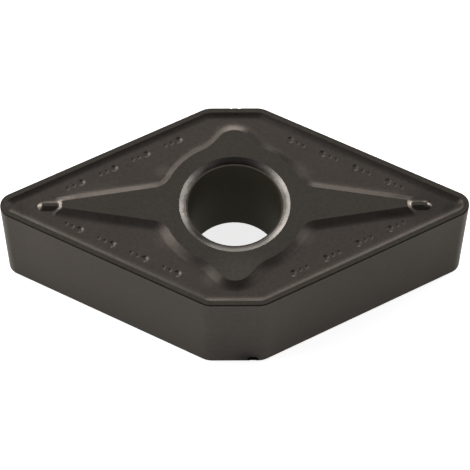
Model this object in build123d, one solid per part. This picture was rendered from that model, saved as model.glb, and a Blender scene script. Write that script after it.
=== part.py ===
"""Carbide turning insert: a 55 degree rhombic body with a pressed chipbreaker on both faces.

Millimetres, +Z up. The origin is the middle of the lower seat, on the axis of the hole, with +X
towards one cutting nose and +Y towards one of the two blunt corners that are cut off flat.
"""

import os
from math import asin, atan2, cos, degrees, floor, hypot, radians, sin, sqrt, tan

from build123d import *

# ---- plan of the body -------------------------------------------------------------------------
NOSE_ANGLE = 55.0  # between the two flanks that meet at a cutting nose
INSCRIBED_CIRCLE = 12.70  # touches all four long flanks
BLUNT_CUT = 0.809  # taken off each blunt corner, from its sharp point to the flat
NOSE_RADIUS = 0.80
BLUNT_RADIUS = 1.20  # where a blunt flat runs into a long flank

# ---- height -----------------------------------------------------------------------------------
THICKNESS = 6.35  # from one seat to the cutting edge of the other face
SEAT_PROUD = 0.06  # how far a seat stands above its own cutting edge
EDGE_HONE = 0.06  # rounding of the cutting edge

# ---- chipbreaker ------------------------------------------------------------------------------
LAND_WIDTH = 0.31  # flat strip behind the cutting edge
RAKE_WIDTH = 0.24  # slope from the land down to the floor, seen in plan
FLOOR_DEPTH = 0.13  # floor below the cutting edge
RAKE_BLEND = 0.70  # soft foot of the rake slope

# ---- raised seat ------------------------------------------------------------------------------
SEAT_SLOPE_WIDTH = 0.46  # slope from the seat down to the floor, seen in plan
SEAT_BLEND = 0.90  # soft foot of that slope
COLLAR_WIDTH = 0.89  # round shoulder about the mouth of the hole
LOBE_GAP = 1.52  # from the flat of a blunt corner to the tip of the lobe
LOBE_TIP_RADIUS = 1.00
LOBE_SPREAD = 21.2  # where a lobe flank leaves the shoulder, against the short axis
LOBE_ROOT_RADIUS = 2.00  # lobe flank into the shoulder
ARM_GAP = 3.49  # from the tip of a nose to the end of the arm
ARM_END_WIDTH = 0.46
ARM_END_SLOPE_WIDTH = 0.10  # the end face is steeper than the sides
ARM_END_BLEND = 0.20  # soft foot of the end face
ARM_TAPER = 9.5  # each side of the arm against the long axis
ARM_ROOT_RADIUS = 1.10  # shoulder into the arm

# ---- ridge between an arm and its nose --------------------------------------------------------
RIDGE_GAP = 0.30  # from the end of the arm to the flat top of the ridge
RIDGE_LENGTH = 0.90  # flat top
RIDGE_WIDTH = 0.18  # flat top
RIDGE_HEIGHT = 0.15  # above the floor
RIDGE_SLOPE_WIDTH = 0.25

# ---- dimples in the floor, in rows along the long flanks ----------------------------------------
DIMPLE_DIAMETER = 0.24  # at the floor
LEAD_DIAMETER = 0.41  # of the dimple that leads each group, on the side of the blunt corner
FLAT_SHARE = 0.45  # flat bottom of a dimple, as a share of its diameter
DIMPLE_DEPTH = 0.03
LEAD_DEPTH = 0.05
DIMPLE_SIDES = 8  # few enough to stay light, and still round to the eye at this size
DIMPLE_PITCH = 0.38
LEAD_PITCH = 0.45  # from the leading dimple to the next
DIMPLES_IN_GROUP = 3
GROUP_PITCH = 2.00
ROW_INSET = 1.12  # row to flank
ROW_START = 3.43  # from the middle of the nose radius to the second dimple of the first group
ROW_END = 2.50  # least distance from the second dimple of the last group to the blunt corner

# ---- hole -------------------------------------------------------------------------------------
HOLE_DIAMETER = 5.16
LEDGE_WIDTH = 0.09  # flat step between the wall of the hole and the countersink
MOUTH_WIDTH = 0.37  # of the countersink, seen in plan
MOUTH_DEPTH = 0.17

# ---- building allowances ------------------------------------------------------------------------
BITE = 0.02  # how far added forms are sunk into what carries them
OVERRUN = 0.50  # how far cutters reach past the surface
LEAST_RADIUS = 0.03

# ---- places that follow from the sizes above ----------------------------------------------------
UPPER_EDGE = THICKNESS
UPPER_SEAT = THICKNESS + SEAT_PROUD
MID_HEIGHT = UPPER_SEAT / 2
FLOOR = UPPER_EDGE - FLOOR_DEPTH
SEAT_HEIGHT = UPPER_SEAT - FLOOR
HALF_ANGLE = NOSE_ANGLE / 2
ACROSS = sin(radians(HALF_ANGLE))  # a long flank's outward direction is (ACROSS, ALONG)
ALONG = cos(radians(HALF_ANGLE))  # and it runs towards the nose as (ALONG, -ACROSS)
BLUNT_POINT = INSCRIBED_CIRCLE / 2 / ALONG
BLUNT_FLAT = BLUNT_POINT - BLUNT_CUT
NOSE_MIDDLE = (INSCRIBED_CIRCLE / 2 - NOSE_RADIUS) / ACROSS
MOUTH_RADIUS = HOLE_DIAMETER / 2 + LEDGE_WIDTH + MOUTH_WIDTH
COLLAR_RADIUS = MOUTH_RADIUS + COLLAR_WIDTH
BLEND_REACH = SEAT_BLEND * tan(atan2(SEAT_HEIGHT, SEAT_SLOPE_WIDTH) / 2)  # of the soft foot, beyond the slope
LOBE_REACH = BLUNT_FLAT - LOBE_GAP
LOBE_TIP_MIDDLE = LOBE_REACH - LOBE_TIP_RADIUS
# a lobe flank runs from its foot on the shoulder and touches the round tip, which sets its slant
LOBE_FOOT_X = COLLAR_RADIUS * sin(radians(LOBE_SPREAD))
LOBE_RISE = LOBE_TIP_MIDDLE - COLLAR_RADIUS * cos(radians(LOBE_SPREAD))
LOBE_SLANT = atan2(LOBE_RISE, LOBE_FOOT_X) + asin(LOBE_TIP_RADIUS / hypot(LOBE_FOOT_X, LOBE_RISE))
ARM_REACH = NOSE_MIDDLE + NOSE_RADIUS - ARM_GAP


def body_plan(inset=0.0):
    """The outline of the body, moved inwards by the inset, with its arcs kept concentric."""
    reach = INSCRIBED_CIRCLE / 2 - inset
    nose_x = reach / ACROSS
    blunt_y = reach / ALONG
    rhombus = make_face(Polyline((nose_x, 0), (0, blunt_y), (-nose_x, 0), (0, -blunt_y), close=True))
    plan = rhombus & Rectangle(3 * nose_x, 2 * (BLUNT_FLAT - inset))
    blunt_corners = plan.vertices().sort_by(Axis.X)[1:-1]
    plan = fillet(blunt_corners, max(BLUNT_RADIUS - inset, LEAST_RADIUS))
    along_x = plan.vertices().sort_by(Axis.X)
    return fillet([along_x[0], along_x[-1]], max(NOSE_RADIUS - inset, LEAST_RADIUS))


def collar_vertices(plan, along_arms):
    """The corners where the lobes, or the arms, leave the round shoulder."""
    on_collar = [v for v in plan.vertices() if abs(Vector(v).length - COLLAR_RADIUS) < LEAST_RADIUS]
    return [v for v in on_collar if (abs(v.X) > abs(v.Y)) == along_arms]


def lobe_root_radius():
    """The root radius of a lobe, limited to what the straight flank above the root leaves room for."""
    flank_distance = LOBE_TIP_RADIUS + LOBE_TIP_MIDDLE * cos(LOBE_SLANT)
    root_height = sqrt(max(COLLAR_RADIUS**2 - flank_distance**2, 0))
    flank_length = LOBE_TIP_MIDDLE * sin(LOBE_SLANT) - root_height
    turn = atan2(root_height, flank_distance)
    if flank_length <= 0:
        return LOBE_ROOT_RADIUS
    return min(LOBE_ROOT_RADIUS, 0.95 * flank_length / tan(turn / 2))


def lobe_plan(side):
    """A lobe with a round tip towards the blunt corner on the given side of the long axis."""
    across, up = sin(LOBE_SLANT), cos(LOBE_SLANT)
    flank_distance = LOBE_TIP_RADIUS + LOBE_TIP_MIDDLE * up
    root = (flank_distance * across, flank_distance * up)
    shoulder = (LOBE_TIP_RADIUS * across, LOBE_TIP_MIDDLE + LOBE_TIP_RADIUS * up)
    corners = [root, shoulder, (-shoulder[0], shoulder[1]), (-root[0], root[1]), (0, 0)]
    wedge = make_face(Polyline(*[(x, side * y) for x, y in corners], close=True))
    return wedge + Pos(0, side * LOBE_TIP_MIDDLE) * Circle(LOBE_TIP_RADIUS)


def arm_plan(side):
    """A straight arm that tapers towards the nose on the given side, before its end is trimmed."""
    end_x = ARM_REACH + ARM_END_SLOPE_WIDTH
    end = ARM_END_WIDTH / 2 - ARM_END_SLOPE_WIDTH * tan(radians(ARM_TAPER))
    root = ARM_END_WIDTH / 2 + ARM_REACH * tan(radians(ARM_TAPER))
    x = side * end_x
    return make_face(Polyline((0, root), (x, end), (x, -end), (0, -root), close=True))


def seat_plan():
    """The flat top of the raised seat: a shoulder about the hole, two lobes and two arms."""
    plan = Circle(COLLAR_RADIUS)
    for side in (1, -1):
        plan = plan + lobe_plan(side) + arm_plan(side)
    plan = fillet(collar_vertices(plan, along_arms=False), lobe_root_radius())
    return fillet(collar_vertices(plan, along_arms=True), ARM_ROOT_RADIUS)


def slope_angle(width, height):
    """The taper, measured from the vertical, of a slope that is this wide in plan and this high."""
    return degrees(atan2(width, height))


def sloped_rise(plan, height, width):
    """A raised form with the plan as its flat top, sunk a little into the floor it stands on."""
    return extrude(plan, amount=-(height + BITE), taper=-slope_angle(width, height))


def level_face(body, height):
    """The largest flat face of the body at this height."""
    level = body.faces().filter_by_position(Axis.Z, height - LEAST_RADIUS, height + LEAST_RADIUS)
    return level.sort_by(SortBy.AREA)[-1]


def on_both_arms(form):
    """The form beyond the arm towards +X, and its twin beyond the other arm."""
    return [form, mirror(form, Plane.YZ)]


def arm_end_cuts():
    """What is trimmed off beyond the arms, so that each ends in a steep face with a soft foot."""
    foot_x = ARM_REACH + ARM_END_SLOPE_WIDTH
    reach = SEAT_SLOPE_WIDTH + BLEND_REACH + BITE
    top = UPPER_SEAT + SEAT_HEIGHT
    corners = [(foot_x, FLOOR), (foot_x + reach, FLOOR), (foot_x + reach, top)]
    corners += [(ARM_REACH - ARM_END_SLOPE_WIDTH, top)]
    profile = make_face(Plane.XZ * Polyline(*corners, close=True))
    foot = profile.vertices().sort_by(Axis.Z)[:2].sort_by(Axis.X)[0]
    profile = fillet(foot, ARM_END_BLEND)
    return on_both_arms(extrude(profile, amount=ARM_END_WIDTH / 2 + reach, both=True))


def ridges():
    """The two narrow ridges with round ends that carry on from the arms towards the noses."""
    flat_top = SlotOverall(RIDGE_LENGTH, RIDGE_WIDTH)
    ridge = sloped_rise(flat_top, RIDGE_HEIGHT, RIDGE_SLOPE_WIDTH)
    middle = ARM_REACH + RIDGE_GAP + RIDGE_LENGTH / 2
    return on_both_arms(Pos(middle, 0, FLOOR + RIDGE_HEIGHT) * ridge)


def row_places(offset):
    """The places, in rows along the four long flanks, that lie this far from the start of each group."""
    row = INSCRIBED_CIRCLE / 2 - ROW_INSET
    first = NOSE_MIDDLE * ALONG - ROW_START
    blunt_corner = BLUNT_CUT / ACROSS * ALONG**2 - BLUNT_FLAT * ACROSS
    groups = 1 + floor((first - blunt_corner - ROW_END) / GROUP_PITCH)
    places = []
    for group in range(groups):
        travel = first - group * GROUP_PITCH + offset
        x = row * ACROSS + travel * ALONG
        y = row * ALONG - travel * ACROSS
        places += [(x, y), (-x, y), (-x, -y), (x, -y)]
    return places


def punch(diameter, depth):
    """A small blunt punch that presses one dimple, with the level of the floor at its origin."""
    shank = RegularPolygon(diameter / 2, DIMPLE_SIDES, major_radius=False)
    body = Pos(0, 0, -depth) * extrude(shank, amount=depth + BITE)
    tip = body.faces().sort_by(Axis.Z)[0]
    bevel = diameter * (1 - FLAT_SHARE) / 2
    return chamfer(tip.edges(), length=bevel, length2=depth, reference=tip)


def dimples():
    """The punches for all dimples of one face: a wide one leads each group, and the others follow."""
    lead, follower = punch(LEAD_DIAMETER, LEAD_DEPTH), punch(DIMPLE_DIAMETER, DIMPLE_DEPTH)
    punches = [Pos(x, y, FLOOR) * lead for x, y in row_places(-LEAD_PITCH)]
    for number in range(DIMPLES_IN_GROUP - 1):
        punches += [Pos(x, y, FLOOR) * follower for x, y in row_places(number * DIMPLE_PITCH)]
    return punches


def half_body():
    """The upper half of the insert, from its mid plane up, with one whole chipbreaker."""
    half = Pos(0, 0, MID_HEIGHT) * extrude(body_plan(), amount=UPPER_EDGE - MID_HEIGHT)
    rim = body_plan(LAND_WIDTH)
    rake = extrude(rim, amount=-FLOOR_DEPTH, taper=slope_angle(RAKE_WIDTH, FLOOR_DEPTH))
    half -= Pos(0, 0, UPPER_EDGE) * (rake + extrude(rim, amount=OVERRUN))
    half += Pos(0, 0, UPPER_SEAT) * sloped_rise(seat_plan(), SEAT_HEIGHT, SEAT_SLOPE_WIDTH)
    half = fillet(level_face(half, FLOOR).inner_wires().edges(), SEAT_BLEND)
    half = fillet(level_face(half, FLOOR).outer_wire().edges(), RAKE_BLEND)
    half = fillet(level_face(half, UPPER_EDGE).outer_wire().edges(), EDGE_HONE)
    half -= arm_end_cuts()
    half += ridges()
    half -= dimples()
    return half


def hole():
    """The through hole with a shallow countersink and a small ledge at each end."""
    wall = HOLE_DIAMETER / 2
    ledge = wall + LEDGE_WIDTH
    spread = MOUTH_WIDTH / MOUTH_DEPTH
    depth = MOUTH_DEPTH + OVERRUN
    countersink = Cone(ledge, MOUTH_RADIUS + OVERRUN * spread, depth)
    upper = Pos(0, 0, UPPER_SEAT - MOUTH_DEPTH + depth / 2) * countersink
    lower = mirror(upper, Plane.XY.offset(MID_HEIGHT))
    bore = Pos(0, 0, MID_HEIGHT) * Cylinder(wall, UPPER_SEAT + 2 * OVERRUN)
    return bore + upper + lower


def insert_body():
    """The finished insert: two like halves about the mid plane, with the hole through both."""
    upper = half_body()
    lower = mirror(upper, Plane.XY.offset(MID_HEIGHT))
    return (upper + lower) - hole()


insert = insert_body()
os.makedirs("parts", exist_ok=True)
export_step(insert, "parts/insert.step")
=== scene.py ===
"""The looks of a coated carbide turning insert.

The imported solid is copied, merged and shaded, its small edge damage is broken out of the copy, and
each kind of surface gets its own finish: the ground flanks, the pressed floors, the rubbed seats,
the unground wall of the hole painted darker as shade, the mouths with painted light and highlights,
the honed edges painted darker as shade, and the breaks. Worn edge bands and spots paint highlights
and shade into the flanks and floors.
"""

import logging
import math
from collections.abc import Callable
from dataclasses import dataclass
from enum import Enum

import bpy
from mathutils import Matrix, Vector


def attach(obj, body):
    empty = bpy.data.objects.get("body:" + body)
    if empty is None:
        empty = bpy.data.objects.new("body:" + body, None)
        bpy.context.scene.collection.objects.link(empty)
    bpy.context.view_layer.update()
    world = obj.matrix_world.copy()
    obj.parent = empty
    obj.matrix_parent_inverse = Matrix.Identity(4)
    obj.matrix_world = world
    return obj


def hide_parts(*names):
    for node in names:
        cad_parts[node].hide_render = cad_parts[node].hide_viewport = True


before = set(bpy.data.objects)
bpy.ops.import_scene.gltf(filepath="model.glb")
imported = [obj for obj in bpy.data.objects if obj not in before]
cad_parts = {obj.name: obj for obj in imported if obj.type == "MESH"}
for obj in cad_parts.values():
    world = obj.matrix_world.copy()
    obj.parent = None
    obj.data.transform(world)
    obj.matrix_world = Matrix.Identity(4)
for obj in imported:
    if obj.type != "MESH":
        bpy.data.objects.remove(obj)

MM = 0.001

Colour = tuple[float, float, float]
Triple = tuple[float, float, float]
Pair = tuple[float, float]
Rgba = tuple[float, float, float, float]
Socket = bpy.types.NodeSocket

WHITE: Colour = (1.0, 1.0, 1.0)

logging.basicConfig(level=logging.INFO, format="%(name)s: %(message)s")
log = logging.getLogger("insert")


# ---- working by hand ----------------------------------------------------------------------------


def deselect_all() -> None:
    """Leaves edit mode and clears the selection, since an operator acts on all that is selected."""
    if bpy.context.object and bpy.context.object.mode != "OBJECT":
        bpy.ops.object.mode_set(mode="OBJECT")
    bpy.ops.object.select_all(action="DESELECT")


def pick(target: bpy.types.Object) -> None:
    """Makes one object the only selected one, and the active one.

    Args:
        target: the object that the next operators act on.
    """
    deselect_all()
    target.select_set(True)
    bpy.context.view_layer.objects.active = target


def select_faces(piece: bpy.types.Object, wanted: Callable[[bpy.types.MeshPolygon], bool]) -> int:
    """Opens a piece in edit mode with only the wanted faces selected.

    Args:
        piece: the piece to edit.
        wanted: tells from a face's place and normal whether it is selected.

    Returns:
        How many faces are selected.
    """
    pick(piece)
    bpy.ops.object.mode_set(mode="EDIT")
    bpy.ops.mesh.select_mode(type="FACE")
    bpy.ops.mesh.select_all(action="DESELECT")
    bpy.ops.object.mode_set(mode="OBJECT")
    for face in piece.data.polygons:
        face.select = wanted(face)
    count = sum(face.select for face in piece.data.polygons)
    bpy.ops.object.mode_set(mode="EDIT")
    return count


def apply_modifier(piece: bpy.types.Object, name: str) -> None:
    """Applies one modifier of a piece by its name."""
    pick(piece)
    bpy.ops.object.modifier_apply(modifier=name)


def direction(azimuth: float, elevation: float) -> Vector:
    """The direction from the insert towards a place round it.

    Args:
        azimuth: degrees round the insert, 0 in front of it and 90 on its +X side.
        elevation: degrees above the floor.

    Returns:
        A unit vector.
    """
    a, e = math.radians(azimuth), math.radians(elevation)
    return Vector((math.sin(a) * math.cos(e), -math.cos(a) * math.cos(e), math.sin(e)))


def rgba(colour: Colour) -> Rgba:
    """The colour with full alpha, as a node's socket wants it."""
    return (*colour, 1.0)


# A mix node has sockets of the same name for numbers, vectors and colours, so these go by place.
MIX_FIRST_COLOUR = 6
MIX_SECOND_COLOUR = 7
MIX_COLOUR = 2

UNEVEN_DETAIL = 2.0  # finer layers on what makes a limit ragged


class Wiring:
    """Adds nodes to one node tree and links them."""

    def __init__(self, tree: bpy.types.NodeTree) -> None:
        """Takes the tree to wire."""
        self.tree = tree

    def add(self, kind: str, label: str, **settings: object) -> bpy.types.Node:
        """Adds a node.

        Args:
            kind: the node's type, without its "ShaderNode" in front.
            label: what the node does, in a maker's words.
            settings: the node's own settings.

        Returns:
            The new node.
        """
        node = self.tree.nodes.new("ShaderNode" + kind)
        node.label = label
        for name, value in settings.items():
            setattr(node, name, value)
        return node

    def feed(self, socket: Socket, source: Socket | float | Triple) -> None:
        """Links a socket to another, or sets it to a fixed value.

        Args:
            socket: the input socket.
            source: an output socket, or the value.
        """
        if isinstance(source, bpy.types.NodeSocket):
            self.tree.links.new(source, socket)
        else:
            socket.default_value = source

    def sum_of(self, label: str, operation: str, *values: Socket | float) -> Socket:
        """Works out one number from others.

        Args:
            label: what the number stands for.
            operation: the name of the sum, such as "MULTIPLY".
            values: the numbers that go in, fixed or linked.

        Returns:
            The socket with the result.
        """
        node = self.add("Math", label, operation=operation)
        for socket, value in zip(node.inputs, values):
            self.feed(socket, value)
        return node.outputs["Value"]

    def fade(self, label: str, distance: Socket, limits: Pair) -> Socket:
        """Fades softly from 1 to 0 as a distance grows.

        Args:
            label: what the mask stands for.
            distance: the distance that goes in.
            limits: up to where the mask is 1, and from where it is 0.

        Returns:
            The socket with the mask.
        """
        node = self.add("MapRange", label, interpolation_type="SMOOTHSTEP")
        self.feed(node.inputs["Value"], distance)
        node.inputs["From Min"].default_value, node.inputs["From Max"].default_value = limits
        node.inputs["To Min"].default_value, node.inputs["To Max"].default_value = 1.0, 0.0
        return node.outputs["Result"]

    def noise(self, label: str, place: Socket, size: Socket | float, detail: float) -> Socket:
        """A soft random pattern in space.

        Args:
            label: what the pattern stands for.
            place: the position that the pattern is read at.
            size: how many features there are to a metre.
            detail: how many finer layers lie on the pattern.

        Returns:
            The socket with a value round 0.5.
        """
        node = self.add("TexNoise", label)
        self.feed(node.inputs["Vector"], place)
        self.feed(node.inputs["Scale"], size)
        node.inputs["Detail"].default_value = detail
        return node.outputs["Fac"]

    def vector_sum(self, label: str, operation: str, *values: Socket | Triple) -> bpy.types.Node:
        """Works out one vector, or its length, from others.

        Args:
            label: what the result stands for.
            operation: the name of the sum, such as "SUBTRACT".
            values: the vectors that go in, fixed or linked.

        Returns:
            The node, with the outputs Vector and Value.
        """
        node = self.add("VectorMath", label, operation=operation)
        for socket, value in zip(node.inputs, values):
            self.feed(socket, value)
        return node

    def ragged(self, distance: Socket, place: Socket, size: float, swing: float) -> Socket:
        """Makes a distance uneven, so that what ends at it has a ragged limit.

        Args:
            distance: the even distance.
            place: the position that the unevenness is read at.
            size: how many uneven bits there are to a metre.
            swing: how far the distance swings from its lowest to its highest.

        Returns:
            The socket with the uneven distance.
        """
        uneven = self.noise("uneven limit", place, size, UNEVEN_DETAIL)
        swung = self.sum_of("ragged limit", "MULTIPLY_ADD", uneven, swing, -swing / 2)
        return self.sum_of("reach", "ADD", distance, swung)

    def blend(self, label: str, factor: Socket, first: Socket, second: Socket) -> Socket:
        """Blends two colours.

        Args:
            label: what the result stands for.
            factor: 0 for the first colour and 1 for the second.
            first: the first colour.
            second: the second colour.

        Returns:
            The socket with the blended colour.
        """
        node = self.add("Mix", label, data_type="RGBA")
        self.feed(node.inputs["Factor"], factor)
        self.feed(node.inputs[MIX_FIRST_COLOUR], first)
        self.feed(node.inputs[MIX_SECOND_COLOUR], second)
        return node.outputs[MIX_COLOUR]


# ---- effects that the finishes share ------------------------------------------------------------


class Effect(Enum):
    """The effects that more than one finish uses, each a node group that is built once."""

    GRAIN = "sintered_grain"
    SMUDGE = "handling_smudge"
    RUB = "edge_rub"
    SPOT = "soft_spot"

    def group(self) -> bpy.types.NodeTree:
        """Finds the effect's node group, and builds it the first time that it is wanted.

        Returns:
            The node group.
        """
        if self.value not in bpy.data.node_groups:
            tree = bpy.data.node_groups.new(self.value, "ShaderNodeTree")
            EFFECT_MAKERS[self](tree)
        return bpy.data.node_groups[self.value]


def open_group(
    tree: bpy.types.NodeTree, inputs: dict[str, str], outputs: dict[str, str]
) -> tuple[Wiring, bpy.types.Node, bpy.types.Node]:
    """Gives a node group its named sockets.

    Args:
        tree: the empty group.
        inputs: the kind of each input socket, by name.
        outputs: the kind of each output socket, by name.

    Returns:
        The wiring of the group, its input node and its output node.
    """
    for name, kind in inputs.items():
        tree.interface.new_socket(name, in_out="INPUT", socket_type="NodeSocket" + kind)
    for name, kind in outputs.items():
        tree.interface.new_socket(name, in_out="OUTPUT", socket_type="NodeSocket" + kind)
    return Wiring(tree), tree.nodes.new("NodeGroupInput"), tree.nodes.new("NodeGroupOutput")


GRAIN_DETAIL = 2.0
CLUSTER_DETAIL = 1.0
CLUSTERS_TO_GRAINS = 0.23  # clusters along a metre for each grain along it
PATCH_DETAIL = 3.0
EDGE_BAND_WOBBLES_PER_METRE = 1500.0
EDGE_BAND_SWING = 0.8
EDGE_BAND_RANGE: Pair = (0.35, 1.0)  # bands off the edge from full wear and painted highlight to none
SPOT_WOBBLES_PER_METRE = 900.0
SPOT_SWING = 0.3
SPOT_RANGE: Pair = (0.1, 1.0)  # reaches off the middle from full to nothing


def build_grain(tree: bpy.types.NodeTree) -> None:
    """The fine sintered grain that shows through the coating.

    Args:
        tree: the group to fill. It puts out a shade round 1 and the height of the grain.
    """
    wire, given, result = open_group(
        tree,
        {"Position": "Vector", "Grains per Metre": "Float", "Contrast": "Float"},
        {"Shade": "Float", "Height": "Float"},
    )
    place, scale = given.outputs["Position"], given.outputs["Grains per Metre"]
    fine = wire.noise("fine grain", place, scale, GRAIN_DETAIL)
    coarse_scale = wire.sum_of("clusters are coarser", "MULTIPLY", scale, CLUSTERS_TO_GRAINS)
    coarse = wire.noise("grain clusters", place, coarse_scale, CLUSTER_DETAIL)
    both = wire.sum_of("grain and clusters", "ADD", fine, coarse)
    centred = wire.sum_of("centred on nought", "SUBTRACT", both, 1.0)
    scaled = wire.sum_of("by its contrast", "MULTIPLY", centred, given.outputs["Contrast"])
    wire.feed(result.inputs["Shade"], wire.sum_of("centred on one", "ADD", scaled, 1.0))
    wire.feed(result.inputs["Height"], both)


def build_smudge(tree: bpy.types.NodeTree) -> None:
    """Broad faint patches where the coating is a little duller.

    Args:
        tree: the group to fill. It puts out a shade round 1 and a change of roughness round 0.
    """
    wire, given, result = open_group(
        tree,
        {
            "Position": "Vector",
            "Patches per Metre": "Float",
            "Shade Change": "Float",
            "Dulling": "Float",
        },
        {"Shade": "Float", "Roughness Change": "Float"},
    )
    place, scale = given.outputs["Position"], given.outputs["Patches per Metre"]
    patches = wire.noise("patches", place, scale, PATCH_DETAIL)
    centred = wire.sum_of("centred on nought", "SUBTRACT", patches, 0.5)
    shade = wire.sum_of("by its change", "MULTIPLY", centred, given.outputs["Shade Change"])
    wire.feed(result.inputs["Shade"], wire.sum_of("centred on one", "ADD", shade, 1.0))
    dulling = wire.sum_of("by its dulling", "MULTIPLY", centred, given.outputs["Dulling"])
    wire.feed(result.inputs["Roughness Change"], dulling)


def build_wear_and_highlight(tree: bpy.types.NodeTree) -> None:
    """The worn band along an edge that lies level at one height, painted lighter as a highlight too.

    Args:
        tree: the group to fill. It puts out a mask that is 1 on the edge and 0 beyond the band.
    """
    wire, given, result = open_group(
        tree,
        {"Position": "Vector", "Edge Height": "Float", "Band": "Float"},
        {"Mask": "Float"},
    )
    place = given.outputs["Position"]
    split = wire.add("SeparateXYZ", "height of the point")
    wire.feed(split.inputs["Vector"], place)
    height, edge = split.outputs["Z"], given.outputs["Edge Height"]
    below = wire.sum_of("height off the edge", "SUBTRACT", height, edge)
    away = wire.sum_of("either way", "ABSOLUTE", below)
    share = wire.sum_of("in bands", "DIVIDE", away, given.outputs["Band"])
    reach = wire.ragged(share, place, EDGE_BAND_WOBBLES_PER_METRE, EDGE_BAND_SWING)
    wire.feed(result.inputs["Mask"], wire.fade("worn band with painted highlight", reach, EDGE_BAND_RANGE))


def build_spot(tree: bpy.types.NodeTree) -> None:
    """One soft-edged spot with an uneven limit.

    Args:
        tree: the group to fill. It puts out a mask that is 1 in the middle and 0 beyond the reach.
    """
    wire, given, result = open_group(
        tree,
        {"Position": "Vector", "Middle": "Vector", "Reach": "Vector"},
        {"Mask": "Float"},
    )
    place, middle = given.outputs["Position"], given.outputs["Middle"]
    offset = wire.vector_sum("off the middle", "SUBTRACT", place, middle).outputs["Vector"]
    scaled = wire.vector_sum("in reaches", "DIVIDE", offset, given.outputs["Reach"])
    away = wire.vector_sum("how far off", "LENGTH", scaled.outputs["Vector"]).outputs["Value"]
    reach = wire.ragged(away, place, SPOT_WOBBLES_PER_METRE, SPOT_SWING)
    wire.feed(result.inputs["Mask"], wire.fade("spot", reach, SPOT_RANGE))


EFFECT_MAKERS: dict[Effect, Callable[[bpy.types.NodeTree], None]] = {
    Effect.GRAIN: build_grain,
    Effect.SMUDGE: build_smudge,
    Effect.RUB: build_wear_and_highlight,
    Effect.SPOT: build_spot,
}


# ---- finishes -----------------------------------------------------------------------------------


@dataclass(frozen=True)
class Spot:
    """A place where a finish is darker or lighter: its middle and reach in millimetres."""

    name: str
    middle: Triple
    reach: Triple
    shade: float


@dataclass(frozen=True)
class CarbideFinish:
    """One finish of the insert: its own colour and gloss, with the shared grain and smudges.

    Lengths are in metres, apart from those of the spots.
    """

    name: str
    colour: Colour = (0.063, 0.056, 0.050)
    edge_tint: Colour = (0.80, 0.76, 0.71)
    metallic: float = 0.95
    roughness: float = 0.34
    grains_per_metre: float = 21000.0
    grain_contrast: float = 0.35
    grain_depth: float = 0.0012 * MM
    patches_per_metre: float = 420.0
    patch_contrast: float = 0.22
    patch_dulling: float = 0.10
    # the lighter colour of the worn edge bands, which is also a painted highlight
    wear_and_highlight_colour: Colour = (0.090, 0.081, 0.073)
    wear_and_highlight_edges: tuple[float, ...] = ()
    wear_and_highlight_band: float = 0.10 * MM
    spots: tuple[Spot, ...] = ()

    def effect(
        self, wire: Wiring, kind: Effect, place: Socket, **values: float | Vector
    ) -> bpy.types.Node:
        """Places a shared effect in the material.

        Args:
            wire: the wiring of the material.
            kind: which effect.
            place: the position that the effect is read at.
            values: the values of its named inputs, with underscores for spaces.

        Returns:
            The group node.
        """
        node = wire.add("Group", kind.value, node_tree=kind.group())
        wire.feed(node.inputs["Position"], place)
        for name, value in values.items():
            node.inputs[name.replace("_", " ")].default_value = value
        return node

    def material(self) -> bpy.types.Material:
        """Builds the finish.

        Returns:
            The material.
        """
        made = bpy.data.materials.new(self.name)
        made.use_nodes = True
        wire = Wiring(made.node_tree)
        shader = made.node_tree.nodes["Principled BSDF"]
        shader.inputs["Metallic"].default_value = self.metallic
        shader.inputs["Specular Tint"].default_value = rgba(self.edge_tint)
        place = wire.add("TexCoord", "place on the insert").outputs["Object"]
        grain = self.effect(
            wire,
            Effect.GRAIN,
            place,
            Grains_per_Metre=self.grains_per_metre,
            Contrast=self.grain_contrast,
        )
        smudge = self.effect(
            wire,
            Effect.SMUDGE,
            place,
            Patches_per_Metre=self.patches_per_metre,
            Shade_Change=self.patch_contrast,
            Dulling=self.patch_dulling,
        )
        shade = wire.sum_of("shade", "MULTIPLY", grain.outputs["Shade"], smudge.outputs["Shade"])
        for spot in self.spots:
            middle, reach = Vector(spot.middle) * MM, Vector(spot.reach) * MM
            found = self.effect(wire, Effect.SPOT, place, Middle=middle, Reach=reach)
            mask = found.outputs["Mask"]
            change = wire.sum_of(spot.name, "MULTIPLY_ADD", mask, spot.shade - 1.0, 1.0)
            shade = wire.sum_of("shade with " + spot.name, "MULTIPLY", shade, change)
        coat = self.tinted(wire, self.colour, shade)
        # worn edge bands in the lighter colour, which also paints a highlight along each edge
        for height in self.wear_and_highlight_edges:
            rub = self.effect(wire, Effect.RUB, place, Edge_Height=height, Band=self.wear_and_highlight_band)
            rubbed = self.tinted(wire, self.wear_and_highlight_colour, shade)
            coat = wire.blend("worn edge with painted highlight", rub.outputs["Mask"], coat, rubbed)
        wire.feed(shader.inputs["Base Color"], coat)
        rough = wire.sum_of("roughness", "ADD", smudge.outputs["Roughness Change"], self.roughness)
        wire.feed(shader.inputs["Roughness"], rough)
        bump = wire.add("Bump", "grain relief")
        bump.inputs["Strength"].default_value = 1.0
        bump.inputs["Distance"].default_value = self.grain_depth
        wire.feed(bump.inputs["Height"], grain.outputs["Height"])
        wire.feed(shader.inputs["Normal"], bump.outputs["Normal"])
        return made

    def tinted(self, wire: Wiring, colour: Colour, shade: Socket) -> Socket:
        """Makes a colour darker and lighter by a shade.

        Args:
            wire: the wiring of the material.
            colour: the colour.
            shade: the shade, round 1.

        Returns:
            The socket with the changed colour.
        """
        node = wire.add("VectorMath", "tinted", operation="SCALE")
        node.inputs["Vector"].default_value = colour
        wire.feed(node.inputs["Scale"], shade)
        return node.outputs["Vector"]


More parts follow.
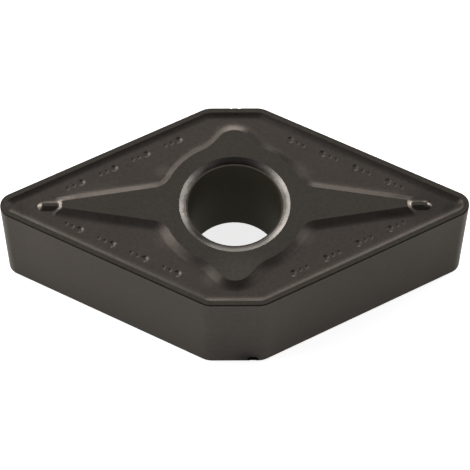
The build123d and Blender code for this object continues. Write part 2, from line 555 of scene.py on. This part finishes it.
@dataclass(frozen=True)
class DimpleHighlights:
    """The leading dimples of the left half, each with a painted highlight on the wall that faces
    left.

    Lengths are in millimetres. The row at the front mirrors the one at the back.
    """

    dimples: int = 4
    first: Pair = (-2.94, 4.28)
    step: Pair = (-1.774, -0.923)
    off_middle: float = 0.03
    height: float = 6.19
    reach: Triple = (0.15, 0.17, 0.20)
    shade: float = 2.2

    def spot(self, row: str, side: int, number: int) -> Spot:
        """The bright spot of one dimple.

        Args:
            row: the name of its row.
            side: 1 for the row at the back and -1 for the one at the front.
            number: its number in the row, from 0 next to the blunt corner.

        Returns:
            The spot.
        """
        x = self.first[0] + self.step[0] * number
        y = side * (self.first[1] + self.step[1] * number) + self.off_middle
        return Spot(f"highlight in {row} dimple {number + 1}", (x, y, self.height), self.reach, self.shade)

    def spots(self) -> tuple[Spot, ...]:
        """The bright spots of both rows."""
        rows = (("back", 1), ("front", -1))
        return tuple(self.spot(*row, number) for row in rows for number in range(self.dimples))


class Surface(Enum):
    """The kinds of surface on the insert, in the order of the material slots."""

    FLANK = 0
    FLOOR = 1
    SEAT = 2
    HOLE = 3
    BREAK = 4
    HONE = 5
    MOUTH = 6


# ---- the insert ---------------------------------------------------------------------------------


@dataclass(frozen=True)
class Scoop:
    """A bit of carbide that broke off an edge: where it was, and half its size along X, Y and Z.

    Lengths are in millimetres. The bit starts as a ball of one millimetre's radius whose facets are
    split and moved by up to the unevenness, partly any way and partly outward.
    """

    name: str
    middle: Triple
    half_size: Triple
    seed: int
    splits: int = 3
    unevenness: float = 0.09
    any_way: float = 0.6
    outward: float = 0.4

    def cutter(self, finish: bpy.types.Material) -> bpy.types.Object:
        """Shapes the broken-off bit from a ball, with an uneven surface.

        Args:
            finish: the finish of the broken surface.

        Returns:
            The cutter.
        """
        deselect_all()
        place = Vector(self.middle) * MM
        bpy.ops.mesh.primitive_ico_sphere_add(subdivisions=self.splits, radius=MM, location=place)
        ball = bpy.context.object
        ball.name = self.name
        bpy.ops.object.mode_set(mode="EDIT")
        bpy.ops.mesh.select_all(action="SELECT")
        bpy.ops.transform.vertex_random(
            offset=self.unevenness * MM, uniform=self.any_way, normal=self.outward, seed=self.seed
        )
        bpy.ops.transform.resize(value=self.half_size)
        bpy.ops.object.mode_set(mode="OBJECT")
        ball.data.materials.append(finish)
        return ball


@dataclass
class TurningInsert:
    """The pressed insert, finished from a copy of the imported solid.

    Levels, radii and the hone's band are in millimetres, and the nose's angle is in degrees. The
    limits on how level a face lies go by the size of its normal's Z: 1 for a level face and 0 for
    an upright one. The merging distance is in metres, and the last two angles are in radians.
    """

    node_name: str = "insert"
    edge_level: float = 6.35
    seat_level: float = 6.41
    bore_radius: float = 2.60
    mouth_radius: float = 3.05
    inscribed_radius: float = 6.35
    nose_angle: float = 55.0
    nose_radius: float = 0.8
    hone_band: float = 0.11
    wall_limit: float = 0.3
    flank_limit: float = 0.05
    level_limit: float = 0.999
    level_slack: float = 0.01
    merge_distance: float = 0.0005 * MM
    flat_angle: float = math.radians(0.3)
    crease_angle: float = math.radians(18.5)
    area_weight: int = 100
    scoops: tuple[Scoop, ...] = (
        Scoop("nick_left", (-0.16, 6.38, 6.38), (0.12, 0.11, 0.11), 3),
        Scoop("nick_right", (0.28, 6.38, 6.38), (0.17, 0.10, 0.10), 5),
        Scoop("crumb", (0.09, 5.93, 6.35), (0.07, 0.05, 0.07), 7),
        Scoop("chip", (0.97, -6.41, 0.24), (0.34, 0.12, 0.36), 11),
    )

    def finishes(self) -> list[bpy.types.Material]:
        """Builds one finish for each kind of surface, in the order of the slots.

        Returns:
            The materials.
        """
        edges = (self.edge_level * MM, (self.seat_level - self.edge_level) * MM)
        kinds = {
            Surface.FLANK: CarbideFinish(
                "ground_flank",
                colour=(0.0625, 0.0556, 0.0510),
                # worn bands along the top and bottom edges, painted lighter as highlights
                wear_and_highlight_edges=edges,
                spots=(
                    # darker over the chip and darkest round it
                    Spot("darker over the chip", (0.72, -6.35, 0.35), (0.95, 0.5, 1.35), 0.36),
                    Spot("darkest round the chip", (0.90, -6.35, 0.10), (0.65, 0.5, 0.85), 0.10),
                    # painted shade on both noses, on the lower flanks towards the floor and on the
                    # front flat
                    Spot("painted shade on left nose", (-12.8, 0.0, 3.2), (2.8, 3.4, 9.0), 0.70),
                    Spot("painted shade on right nose", (12.8, 0.0, 3.2), (2.8, 3.4, 9.0), 0.72),
                    Spot("painted shade on lower flanks", (0.0, 0.0, -0.5), (90.0, 90.0, 4.2), 0.84),
                    Spot("painted shade on front flat", (0.0, -6.35, 2.5), (2.3, 0.8, 6.0), 0.84),
                ),
            ),
            Surface.FLOOR: CarbideFinish(
                "pressed_floor",
                colour=(0.0660, 0.0566, 0.0498),
                spots=(
                    # painted shade on the right corner
                    Spot("painted shade on right corner", (10.8, 0.0, 6.22), (2.4, 2.0, 1.0), 0.73),
                    # painted light and highlights on the back lobe, the collars, the front lobe, the
                    # left arm and both arm ends
                    Spot("painted highlight on back lobe", (-0.1, 4.95, 6.35), (1.25, 0.6, 1.0), 1.7),
                    Spot("painted light on right collar", (3.5, 2.1, 6.30), (1.0, 1.0, 1.0), 1.5),
                    Spot("painted light on right front collar", (3.72, -2.02, 6.30), (0.9, 0.75, 1.0), 1.5),
                    Spot("painted light on left front collar", (-3.68, -2.15, 6.30), (1.1, 0.9, 1.0), 1.3),
                    Spot("painted light on left back collar", (-3.90, 2.20, 6.30), (0.8, 0.6, 1.0), 1.4),
                    Spot("painted light on front lobe", (-1.35, -4.65, 6.30), (0.7, 0.7, 1.0), 1.35),
                    Spot("painted highlight on left arm", (-7.0, 1.0, 6.33), (3.4, 1.2, 0.20), 1.25),
                    Spot("painted highlight on left arm tip", (-9.1, 0.5, 6.34), (0.6, 0.4, 0.14), 1.5),
                    Spot("painted highlight on left arm end", (-9.48, 0.02, 6.34), (0.32, 0.42, 0.14), 4.4),
                    Spot("painted highlight on right arm end", (9.55, 0.02, 6.34), (0.30, 0.30, 0.14), 8.0),
                    # painted shade on the right arm and on both nose rims
                    Spot("painted shade on right arm tip", (9.10, 0.50, 6.34), (0.9, 0.32, 0.16), 0.72),
                    Spot("painted shade on right arm front", (8.70, -0.66, 6.30), (1.4, 0.35, 0.30), 0.72),
                    Spot("painted shade on right nose rim", (11.75, -0.30, 6.30), (0.7, 0.8, 0.5), 0.72),
                    Spot("painted shade on left nose rim", (-11.75, -0.40, 6.30), (0.7, 0.8, 0.5), 0.80),
                    # painted highlights on the ridges and their tips
                    Spot("painted highlight on left ridge tip", (-10.6, 0.03, 6.33), (0.30, 0.30, 0.15), 1.6),
                    Spot("painted highlight on right ridge tip", (10.48, 0.07, 6.33), (0.32, 0.32, 0.16), 5.5),
                    Spot("painted highlight on left ridge", (-10.1, 0.24, 6.33), (0.8, 0.26, 0.15), 2.4),
                    Spot("painted highlight on right ridge", (10.0, 0.26, 6.33), (0.7, 0.26, 0.15), 1.3),
                    # painted highlights in the leading dimples
                    *DimpleHighlights().spots(),
                ),
            ),
            Surface.SEAT: CarbideFinish(
                "rubbed_seat",
                colour=(0.0557, 0.0488, 0.0416),
                spots=(Spot("bright front lobe", (0.2, -4.4, 6.41), (2.6, 1.9, 1.0), 1.32),),
            ),
            # the unground wall of the hole, painted darker as shade in the bore
            Surface.HOLE: CarbideFinish(
                "unground_hole_with_painted_shade",
                colour=(0.031, 0.0285, 0.0165),
                edge_tint=(0.80, 0.75, 0.52),
                metallic=0.3,
                roughness=0.5,
                grain_depth=0.003 * MM,
            ),
            Surface.BREAK: CarbideFinish(
                "broken_carbide",
                colour=(0.008, 0.0075, 0.007),
                edge_tint=(0.30, 0.28, 0.26),
                metallic=1.0,
                roughness=0.6,
                grain_depth=0.006 * MM,
            ),
            # the honed edge, painted darker as shade
            Surface.HONE: CarbideFinish("honed_edge_with_painted_shade", colour=(0.024, 0.021, 0.019)),
            # the mouth is painted light: highlights on its left and right sides and along its rim,
            # painted shade at its front and back
            Surface.MOUTH: CarbideFinish(
                "mouth_with_painted_light",
                colour=(0.080, 0.072, 0.064),
                roughness=0.27,
                wear_and_highlight_edges=(self.seat_level * MM, 0.0),
                wear_and_highlight_band=0.15 * MM,
                wear_and_highlight_colour=(0.19, 0.175, 0.160),
                spots=(
                    Spot("painted highlight on left side", (-2.9, 0.1, 6.35), (1.7, 2.8, 1.0), 2.8),
                    Spot("painted highlight on right side", (2.9, 0.1, 6.35), (1.7, 2.8, 1.0), 1.8),
                    Spot("painted shade on front side", (0.0, -2.9, 6.35), (2.4, 1.7, 1.0), 0.42),
                    Spot("painted shade on back side", (0.0, 2.9, 6.35), (2.4, 1.7, 1.0), 0.40),
                ),
            ),
        }
        return [kinds[surface].material() for surface in Surface]

    def copy_of_solid(self) -> bpy.types.Object:
        """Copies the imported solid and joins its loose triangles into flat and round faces.

        Returns:
            The copy, one closed shell.
        """
        pick(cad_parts[self.node_name])
        bpy.ops.object.duplicate()
        piece = bpy.context.object
        piece.name = "pressed_body"
        bpy.ops.object.mode_set(mode="EDIT")
        bpy.ops.mesh.select_all(action="SELECT")
        bpy.ops.mesh.remove_doubles(threshold=self.merge_distance)
        bpy.ops.mesh.dissolve_limited(angle_limit=self.flat_angle, delimit=set())
        bpy.ops.object.mode_set(mode="OBJECT")
        bpy.ops.mesh.customdata_custom_splitnormals_clear()
        return piece

    def off_outline(self, x: float, y: float) -> float:
        """How far inside the ground outline a point lies, near enough to tell the honed edge by.

        Args:
            x: the point's place along the insert, in millimetres.
            y: its place across the insert, in millimetres.

        Returns:
            The distance in millimetres.
        """
        lean = math.radians(self.nose_angle / 2)
        along, across = math.sin(lean), math.cos(lean)
        nose_middle = (self.inscribed_radius - self.nose_radius) / along
        if abs(x) > nose_middle:
            return self.nose_radius - math.hypot(abs(x) - nose_middle, y)
        off_side = self.inscribed_radius - along * abs(x) - across * abs(y)
        return min(off_side, self.inscribed_radius - abs(y))

    def surface_of(self, face: bpy.types.MeshPolygon) -> Surface:
        """Tells from its place and normal which kind of surface a face belongs to.

        Args:
            face: a face of the body.

        Returns:
            The kind of surface.
        """
        x, y, z = (value / MM for value in face.center)
        height = max(z, self.seat_level - z)
        levelness = abs(face.normal.z)
        if levelness < self.wall_limit and math.hypot(x, y) < self.bore_radius:
            return Surface.HOLE
        if levelness < self.flank_limit:
            return Surface.FLANK
        if levelness > self.level_limit:
            raised = height > self.edge_level - self.level_slack
            return Surface.SEAT if raised else Surface.FLOOR
        if self.off_outline(x, y) < self.hone_band:
            return Surface.HONE
        return Surface.MOUTH if math.hypot(x, y) < self.mouth_radius else Surface.FLOOR

    def dress(self, piece: bpy.types.Object) -> None:
        """Gives each kind of surface its finish.

        Args:
            piece: the body, with the slots in the order of the kinds.
        """
        broken = Surface.BREAK
        for surface in (each for each in Surface if each is not broken):
            count = select_faces(
                piece,
                lambda face: (
                    face.material_index != broken.value and self.surface_of(face) is surface
                ),
            )
            piece.active_material_index = surface.value
            bpy.ops.object.material_slot_assign()
            bpy.ops.object.mode_set(mode="OBJECT")
            log.info("%s: %d faces", surface.name.lower(), count)

    def break_edges(self, piece: bpy.types.Object) -> None:
        """Breaks the small nicks and the chip out of the edges.

        Args:
            piece: the body, with the slots in place.
        """
        for scoop in self.scoops:
            cutter = scoop.cutter(piece.data.materials[Surface.BREAK.value])
            cut = piece.modifiers.new(scoop.name, "BOOLEAN")
            cut.operation = "DIFFERENCE"
            cut.solver = "EXACT"
            cut.material_mode = "TRANSFER"
            cut.object = cutter
            apply_modifier(piece, cut.name)
            bpy.data.objects.remove(cutter)
            log.info("%s: broken out", scoop.name)

    def smooth(self, piece: bpy.types.Object) -> None:
        """Shades the body smoothly between its creases.

        Args:
            piece: the body.
        """
        pick(piece)
        bpy.ops.object.shade_smooth_by_angle(angle=self.crease_angle)
        even = piece.modifiers.new("even_normals", "WEIGHTED_NORMAL")
        even.weight = self.area_weight
        even.keep_sharp = True
        apply_modifier(piece, even.name)

    def build(self) -> bpy.types.Object:
        """Makes the finished body.

        Returns:
            The body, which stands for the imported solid.
        """
        piece = self.copy_of_solid()
        piece.data.materials.clear()
        for finish in self.finishes():
            piece.data.materials.append(finish)
        self.break_edges(piece)
        self.dress(piece)
        self.smooth(piece)
        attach(piece, "root")
        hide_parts(self.node_name)
        return piece


# ---- studio -------------------------------------------------------------------------------------


@dataclass(frozen=True)
class Softbox:
    """A rectangular soft lamp that points at the insert: angles in degrees, lengths in metres."""

    name: str
    azimuth: float
    elevation: float
    radiance: float
    width: float = 0.26
    height: float = 0.26
    distance: float = 0.6

    def build(self) -> None:
        """Hangs the lamp, with its power worked out from how bright its face is to look."""
        way = direction(self.azimuth, self.elevation)
        lamp = bpy.data.lights.new(self.name, "AREA")
        lamp.shape = "RECTANGLE"
        lamp.size, lamp.size_y = self.width, self.height
        lamp.energy = self.radiance * math.pi * self.width * self.height
        holder = bpy.data.objects.new(self.name, lamp)
        holder.location = way * self.distance
        holder.rotation_mode = "QUATERNION"
        holder.rotation_quaternion = way.to_track_quat("Z", "Y")
        holder.visible_camera = False
        bpy.context.scene.collection.objects.link(holder)


@dataclass
class Studio:
    """The pale floor, the air round it, and the lamps, with the floor's size in metres."""

    floor_size: float = 6.0
    floor_colour: Colour = (0.8, 0.8, 0.8)
    floor_roughness: float = 0.9
    floor_glow: float = 0.80
    floor_in_metal: float = 0.395
    air_level: float = 0.14
    air_in_metal: float = 0.16
    lamps: tuple[Softbox, ...] = (
        Softbox("low_left_box", -120, 14, 12.6),
        Softbox("low_right_box", 120, 14, 7.5),
        Softbox("left_box", -90, 36, 4.3),
        Softbox("low_back_left_box", -150, 14, 3.3),
        Softbox("low_back_box", 180, 14, 3.1),
        Softbox("back_box", 180, 36, 0.7),
        Softbox("back_right_box", 150, 36, 0.6),
        Softbox("high_left_box", -120, 58, 2.1),
        Softbox("high_right_box", 120, 58, 1.1),
        Softbox("high_back_box", 180, 58, 0.75),
        Softbox("low_front_box", 0, 12, 1.1, 1.20, 0.26),
    )

    def seen(self, wire: Wiring, in_metal: float) -> Socket:
        """A mask that is 1 for what the camera sees, also through glass, and less in shiny metal.

        Args:
            wire: the wiring of the material or the world.
            in_metal: how much of it shows in shiny metal.

        Returns:
            The socket with the mask.
        """
        path = wire.add("LightPath", "what looks at it")
        shiny = wire.sum_of("in metal", "MULTIPLY", path.outputs["Is Glossy Ray"], in_metal)
        either = wire.sum_of("camera or metal", "MAXIMUM", path.outputs["Is Camera Ray"], shiny)
        return wire.sum_of("or glass", "MAXIMUM", either, path.outputs["Is Transmission Ray"])

    def floor(self) -> None:
        """Lays the pale matt floor, which can't be seen from below."""
        deselect_all()
        bpy.ops.mesh.primitive_plane_add(size=self.floor_size)
        floor = bpy.context.object
        floor.name = "floor"
        pale = bpy.data.materials.new("pale_floor")
        pale.use_nodes = True
        wire = Wiring(pale.node_tree)
        paper = pale.node_tree.nodes["Principled BSDF"]
        paper.inputs["Base Color"].default_value = rgba(self.floor_colour)
        paper.inputs["Roughness"].default_value = self.floor_roughness
        paper.inputs["Specular IOR Level"].default_value = 0.0
        glow = wire.add("Emission", "white background")
        seen = self.seen(wire, self.floor_in_metal)
        wire.feed(glow.inputs["Strength"], wire.sum_of("glow", "MULTIPLY", seen, self.floor_glow))
        both = wire.add("AddShader", "paper and glow")
        wire.feed(both.inputs[0], paper.outputs["BSDF"])
        wire.feed(both.inputs[1], glow.outputs["Emission"])
        side = wire.add("NewGeometry", "which side")
        clear = wire.add("BsdfTransparent", "nothing from below")
        shown = wire.add("MixShader", "from above only")
        wire.feed(shown.inputs["Fac"], side.outputs["Backfacing"])
        wire.feed(shown.inputs[1], both.outputs["Shader"])
        wire.feed(shown.inputs[2], clear.outputs["BSDF"])
        result = pale.node_tree.nodes["Material Output"]
        wire.feed(result.inputs["Surface"], shown.outputs["Shader"])
        floor.data.materials.append(pale)

    def air(self) -> None:
        """Fills the room with faint soft light, which is white where the camera looks into it."""
        world = bpy.data.worlds.new("studio_air")
        bpy.context.scene.world = world
        world.use_nodes = True
        wire = Wiring(world.node_tree)
        background = world.node_tree.nodes["Background"]
        background.inputs["Color"].default_value = rgba(WHITE)
        seen = self.seen(wire, self.air_in_metal)
        level = wire.sum_of("at least", "MAXIMUM", seen, self.air_level)
        wire.feed(background.inputs["Strength"], level)

    def build(self) -> None:
        """Sets up the floor, the air and the lamps."""
        self.floor()
        self.air()
        for lamp in self.lamps:
            lamp.build()


@dataclass
class CameraRig:
    """A long lens that looks down on the insert from the front.

    The aim, the distance and the sensor's width are in millimetres, the angles are in degrees, the
    picture's width and the focal length are in pixels, and the clipping distances are in metres.
    """

    aim: Triple = (0.004, -1.957, 6.35)
    azimuth: float = -0.604
    elevation: float = 59.134
    roll: float = 0.350
    distance: float = 119.64
    focal_pixels: float = 2209.24
    frame_pixels: float = 470.0
    sensor: float = 36.0
    nearest: float = 0.01
    farthest: float = 20.0

    def build(self) -> bpy.types.Object:
        """Places the camera.

        Returns:
            The camera, which the scene now looks through.
        """
        back = direction(self.azimuth, self.elevation)
        turn = math.radians(self.azimuth)
        level = Vector((math.cos(turn), math.sin(turn), 0.0))
        roll = Matrix.Rotation(math.radians(self.roll), 3, back)
        right, up = roll @ level, roll @ back.cross(level)
        lens = bpy.data.cameras.new("camera")
        lens.sensor_width = self.sensor
        lens.lens = self.focal_pixels / self.frame_pixels * self.sensor
        lens.clip_start = self.nearest
        lens.clip_end = self.farthest
        camera = bpy.data.objects.new("camera", lens)
        place = Matrix.Translation((Vector(self.aim) + back * self.distance) * MM)
        camera.matrix_world = place @ Matrix((right, up, back)).transposed().to_4x4()
        bpy.context.scene.collection.objects.link(camera)
        bpy.context.scene.camera = camera
        return camera


def main() -> None:
    """Builds the insert, the studio and the camera."""
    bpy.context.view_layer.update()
    body = TurningInsert().build()
    log.info("%s: %d faces", body.name, len(body.data.polygons))
    Studio().build()
    log.info("studio: floor, air and lamps")
    CameraRig().build()
    log.info("camera: in place")
    bpy.context.scene.view_settings.view_transform = "Standard"


if __name__ == "__main__":
    main()
